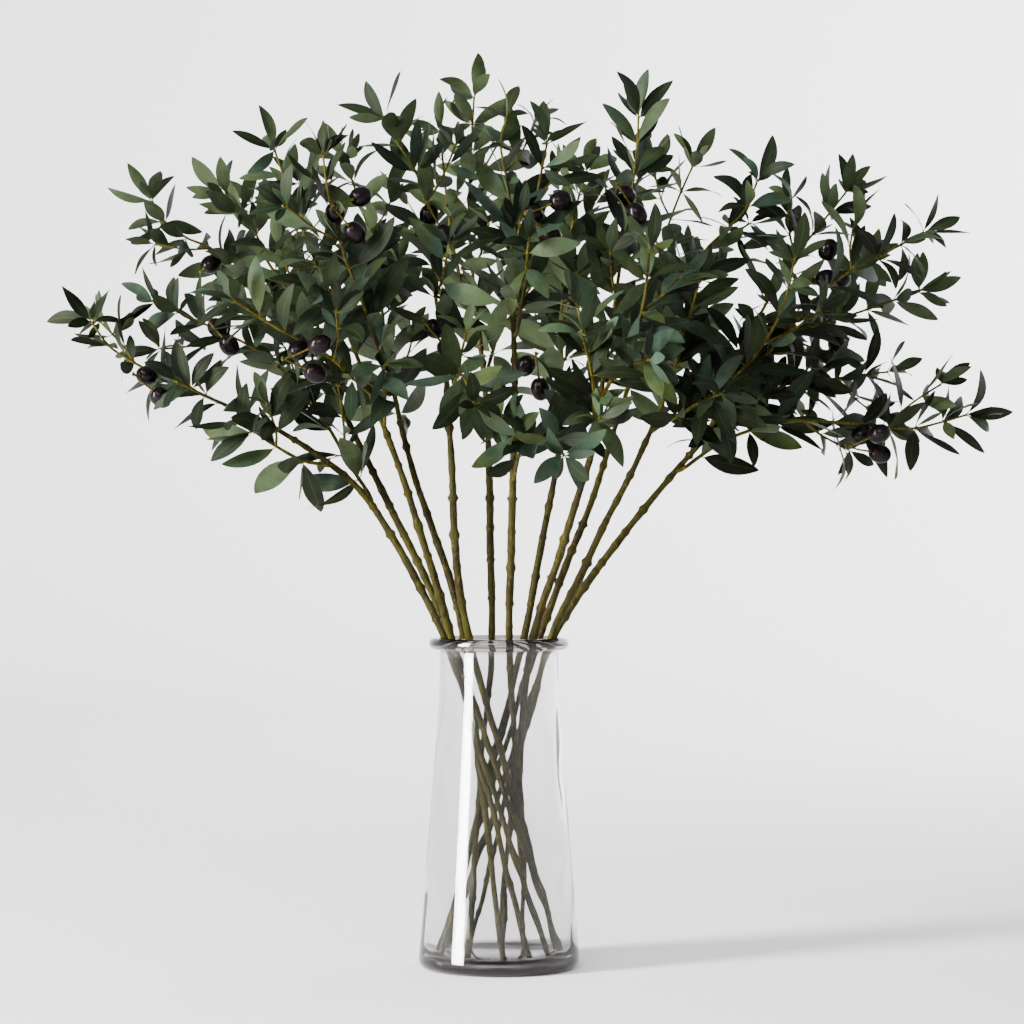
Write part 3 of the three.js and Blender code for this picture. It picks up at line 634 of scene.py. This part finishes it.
leaf = Finish("olive_leaf", Specular_IOR_Level=0.1)
blade = leaf.attribute("blade", "Vector")
along, across = leaf.axis("X", blade), leaf.axis("Y", blade)
tone = leaf.attribute("tone")
mottle = leaf.noise(leaf.place(), 60, detail=3)
speckle = leaf.noise(leaf.place(), 900, detail=2)
from_rib = abs(across)
rib = leaf.ramp(from_rib, (0.0, 1.0), (0.05, 0.8), (0.13, 0.0))
veins = (along * 95 - from_rib * 17).math("SINE")
# The top's colour follows the leaf's tone, which holds painted light and shade: darker leaves at
# the back and sides of the crown, paler ones at the front, besides a random spread of tone.
top = leaf.ramp(tone, (0.0, LEAF_DARK), (0.45, LEAF_MIDDLE), (0.85, LEAF_SAGE), (1.0, LEAF_YOUNG))
top = leaf.mix(leaf.ramp(mottle, (0.35, 0.0), (0.65, 0.5)), top, LEAF_MIDDLE)
cool = leaf.ramp(leaf.noise(leaf.place(), 13, detail=1), (0.46, 0.0), (0.58, 1.0))
top = leaf.mix(cool, top, leaf.mix(1.0, top, LEAF_COOL, "MULTIPLY"))
top = leaf.mix(0.05 + 0.05 * veins, top, LEAF_DARK)
top = leaf.mix(rib * 0.28, top, LEAF_YOUNG)
under = leaf.mix(leaf.ramp(mottle, (0.3, 0.0), (0.7, 0.7)), LEAF_BELOW, LEAF_SAGE)
under = leaf.mix(rib * 0.4, under, LEAF_YOUNG)
skin_colour = leaf.mix(leaf.attribute("below"), top, under)
stem = leaf.ramp(along, (0.05, 1.0), (0.12, 0.0))
leaf.colour(leaf.mix(stem, skin_colour, TWIG_GREEN))
leaf.roughness(0.46 + 0.16 * mottle + 0.1 * speckle)
leaf.bump(0.25 * veins - 1.0 * rib + 0.5 * mottle + 0.35 * speckle, 0.12 * mm, 0.8)

twig_bark = bark_finish("twig_bark", TWIG_GREEN, TWIG_BROWN, TWIG_PALE)
for node in sorted(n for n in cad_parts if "_spray_" in n):
    corners, joined = solid_net(node)
    *leaves, used = read_leaves(corners, joined)
    *leaves, half_width = with_companions(*leaves)
    count = len(half_width)
    wood = cane_paths[node.split("_spray_")[0]]
    skins = []
    for knots, radii in read_twigs(corners, joined, used):
        if not skins:
            at = np.linalg.norm(wood - knots[0], axis=1).argmin()
            heart = wood[max(0, at - ROOT_BURIED)]
            knots = np.concatenate([[heart], knots])
            radii = np.concatenate([[0.8 * radii[0]], radii])
        path, radius = smooth_path(knots, radii, TWIG_ROWS)
        turn = np.linspace(0, 2 * np.pi, TWIG_SIDES, endpoint=False)
        beat = np.linspace(0, len(knots) - 1, TWIG_ROWS)[:, None] * 2 * np.pi
        buds = BUD_SWELL * np.maximum(0, np.cos(beat)) ** 6
        ribbed = 0.92 + buds + 0.06 * np.sin(3 * turn + beat)
        skins.append(tube(path, radius[:, None] * ribbed))
    twigs = make_piece(f"{node}_twigs", put_together(skins), twig_bark)
    shape = leaf_skins(
        *leaves,
        LEAF_FILL * half_width,
        bend=chance.uniform(*BEND, count),
        sway=chance.uniform(*SWAY, count),
        twist=chance.normal(0, TWIST, count),
        cup=chance.uniform(*CUP, count),
    )
    blades = make_piece(f"{node}_leaves", shape, leaf, sharp=70)
    # Painted light and shade: shoots at the front and in the middle are paler than those at the
    # back and the sides, where less light falls; each shoot's tone also varies a little at random.
    across, depth = leaves[0].mean(axis=0)[:2]
    shoot_painted_light_and_tone = 0.38 - 1.2 * depth - 0.3 * abs(across) + 0.12 * across
    shoot_painted_light_and_tone += chance.uniform(-0.08, 0.08)
    leaf_marks(blades, count, np.clip(chance.normal(shoot_painted_light_and_tone, TONE_SPREAD, count), 0, 1))
    for piece, slot in ((twigs, "bark"), (blades, "leaf")):
        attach(piece, "root")
        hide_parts(node)

# ---------------------------------------------------------------------------------------------
# The olives. Ripe fruit, nearly black with a plum tinge and a thin waxy bloom, one to three on
# a cluster's short green stalks. Each hangs from its stalk in a shallow pit, with a small point
# at the far end.

FRUIT_REACH = 9.6 * mm  # shorter edges lie in one fruit's solid, or in the joint
FRUIT_RADIUS = 9.7 * mm
FRUIT_HALF_LENGTH = 11.6 * mm
PIT_DEPTH, PIT_WIDTH = 1.5 * mm, 0.30
POINT_HEIGHT, POINT_WIDTH = 0.5 * mm, 0.16
FRUIT_ROWS = 22
FRUIT_SIDES = 26
STALK_RADIUS = 0.95 * mm
STALK_ROWS = 14
FRUIT_BLACK = (0.0018, 0.0010, 0.0012, 1)
FRUIT_PLUM = (0.0060, 0.0016, 0.0020, 1)
FRUIT_BLOOM = (0.0050, 0.0038, 0.0045, 1)


def read_fruit(node):
    """The cluster's joint, and each fruit's far end. Corners tied by edges under FRUIT_REACH make
    the joint, the smallest group, and the fruits. A fruit's far end is its corner furthest from
    the joint."""
    corners, joined = solid_net(node)
    group = groups(corners, joined, FRUIT_REACH)
    sets = sorted((corners[group == g] for g in range(group.max() + 1)), key=len)
    joint = sets[0].mean(axis=0)
    ends = [s[np.linalg.norm(s - joint, axis=1).argmax()] for s in sets[1:]]
    return joint, np.array(ends)


def fruit_skins(joint, ends):
    """Each fruit is an oval turned about the line from the joint to its far end: radius
    sin(a)^0.92, place -cos(a), with a pit sunk at the stalk and a small point at the far end,
    each exp(-(angle / width)^2), and slow lobes, sines of the turn."""
    angle = np.linspace(0, np.pi, FRUIT_ROWS + 2)[1:-1]
    place = -np.cos(angle) * FRUIT_HALF_LENGTH
    place = place + PIT_DEPTH * np.exp(-((angle / PIT_WIDTH) ** 2))
    place = place + POINT_HEIGHT * np.exp(-(((np.pi - angle) / POINT_WIDTH) ** 2))
    wide = np.sin(angle) ** 0.92 * FRUIT_RADIUS
    along = unit(ends - joint)
    middle = ends - FRUIT_HALF_LENGTH * along
    aside = unit(np.cross(along, [0.3, 0.2, 1.0]))
    other = np.cross(along, aside)
    turn = np.linspace(0, 2 * np.pi, FRUIT_SIDES, endpoint=False)
    lobe = 1 + 0.02 * np.sin(2 * turn + 1) + 0.012 * np.sin(3 * turn + angle[:, None] * 2)
    out = np.cos(turn)[:, None] * aside[:, None] + np.sin(turn)[:, None] * other[:, None]
    rings = middle[:, None, None] + place[:, None, None] * along[:, None, None]
    rings = rings + (wide[:, None] * lobe)[None, ..., None] * out[:, None]
    pit = middle - (FRUIT_HALF_LENGTH - 1.7 * mm) * along
    return closed_skins(rings, np.stack([pit, ends + 0.4 * mm * along], axis=1))


def stalk_skin(joint, end):
    """A stalk from the joint to the fruit's pit, with a slight sag. It flares at both ends: the
    radius times 1 + 0.7 t^6, with t from -1 to 1 along it."""
    along = unit(end - joint)
    stop = end - (2 * FRUIT_HALF_LENGTH - 1.2 * mm) * along
    start = joint - 3 * mm * along
    sag = np.array([0, 0, -0.8 * mm])
    knots = np.array([start, (start + stop) / 2 + sag, stop])
    path, _ = smooth_path(knots, np.ones(3), STALK_ROWS)
    flare = 1 + 0.7 * np.linspace(-1, 1, STALK_ROWS) ** 6
    return tube(path, np.repeat((STALK_RADIUS * flare)[:, None], TWIG_SIDES, axis=1))


olive = Finish("olive_skin", Coat_Weight=0.16, Coat_Roughness=0.04, Specular_IOR_Level=0.04)
clouds = olive.noise(olive.place(), 95, detail=3)
pores = olive.noise(olive.place(), 1500, detail=1)
flesh = olive.mix(olive.ramp(clouds, (0.42, 0.0), (0.68, 0.8)), FRUIT_BLACK, FRUIT_PLUM)
bloom = olive.noise(olive.place(), 60, detail=5, roughness=0.7)
dust = olive.ramp(bloom, (0.48, 0.0), (0.78, 0.4))
dots = olive.ramp(pores, (0.66, 0.0), (0.74, 0.35))
olive.colour(olive.mix(dots, olive.mix(dust, flesh, FRUIT_BLOOM), FRUIT_BLOOM))
olive.roughness(0.30 + 0.2 * clouds)
olive.bump(pores, 0.06 * mm, 0.4)

for node in sorted(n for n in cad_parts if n.startswith("olives_")):
    joint, ends = read_fruit(node)
    fruit = make_piece(f"{node}_fruit", fruit_skins(joint, ends), olive)
    stems = put_together([stalk_skin(joint, end) for end in ends])
    stalks = make_piece(f"{node}_stalks", stems, twig_bark)
    for piece, slot in ((fruit, "olive"), (stalks, "bark")):
        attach(piece, "root")
        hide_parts(node)

# ---------------------------------------------------------------------------------------------
# The studio. A pale matt floor that greys towards the front and curves up far away, a tall soft
# window at the left, soft light from the front and above, a strip lamp that lights only the
# glass, and a long lens at the height of the crown's foot.

SWEEP_RADIUS = 7.0
SWEEP_HEIGHT = 4.0
SWEEP_FLAT = 0.62  # the share of its radius that lies flat
SWEEP_ROWS, SWEEP_SIDES = 60, 96
CAMERA_PLACE = (0.013, -3.266, 0.455)
CAMERA_LENS = 114.8

sweep = Finish("pale_paper", Roughness=0.9, Specular_IOR_Level=0.1)
back = sweep.axis("Y", sweep.place()) * (0.5 / SWEEP_RADIUS)
sweep.colour(sweep.ramp(0.5 + back, (0.10, 0.45), (0.36, 0.88)))

# A flat disc whose rim rises by (the share of the way from SWEEP_FLAT to the rim)^2.6. It stays
# open at the top, without the last point and its fan, and its faces are turned to look inwards.
reach = np.linspace(0.02, 1, SWEEP_ROWS)
lift = SWEEP_HEIGHT * np.maximum(0, (reach - SWEEP_FLAT) / (1 - SWEEP_FLAT)) ** 2.6
turn = np.linspace(0, 2 * np.pi, SWEEP_SIDES, endpoint=False)
bowl = np.stack([
    SWEEP_RADIUS * reach[:, None] * np.cos(turn),
    SWEEP_RADIUS * reach[:, None] * np.sin(turn),
    np.broadcast_to(lift[:, None], (SWEEP_ROWS, SWEEP_SIDES)),
], axis=-1)
points, quads, triangles = closed_skins(bowl[None], np.zeros((1, 2, 3)))
fan = triangles[(triangles == 0).any(axis=1)]
floor = make_piece("floor", (points[:-1], quads[:, ::-1], fan[:, ::-1]), sweep)


def soft_light(name, place, target, size, power, colour=(1, 1, 1)):
    """A rectangular area light at a place, turned to face a target."""
    lamp = bpy.data.lights.new(name, "AREA")
    lamp.shape, lamp.size, lamp.size_y = "RECTANGLE", size[0], size[1]
    lamp.energy, lamp.color = power, colour
    light = bpy.data.objects.new(name, lamp)
    bpy.context.scene.collection.objects.link(light)
    light.location = place
    aim = light.location.copy()
    aim.x, aim.y, aim.z = (t - p for t, p in zip(target, place))
    light.rotation_euler = aim.to_track_quat("-Z", "Y").to_euler()
    return light


soft_light("window", (-3.4, -2.0, 1.25), (0, 0, 0.45), (0.85, 3.4), 1000, (1.0, 0.99, 0.96))
soft_light("front_fill", (-1.2, -3.6, 2.6), (0, 0, 0.5), (2.0, 1.6), 110)
soft_light("backdrop_light", (3.2, 2.6, 3.6), (2.6, 7.0, 0.6), (4.5, 1.5), 680)

# The strip's long reflection is the bright streak down the vase's left side.
strip = soft_light("glass_strip", (-0.945, -0.565, 0.22), (0, 0, 0.2), (0.36, 0.84), 170)
glass_only = bpy.data.collections.new("glass_only")
glass_only.objects.link(vase)
strip.light_linking.receiver_collection = glass_only

world = bpy.data.worlds.new("studio")
world.use_nodes = True
background = world.node_tree.nodes["Background"]
background.inputs["Color"].default_value = (0.97, 0.98, 1.0, 1)
background.inputs["Strength"].default_value = 0.66
bpy.context.scene.world = world

lens = bpy.data.cameras.new("camera")
lens.lens, lens.sensor_width = CAMERA_LENS, 36
camera = bpy.data.objects.new("camera", lens)
bpy.context.scene.collection.objects.link(camera)
camera.location = CAMERA_PLACE
camera.rotation_euler = (np.pi / 2, 0, 0)
bpy.context.scene.camera = camera
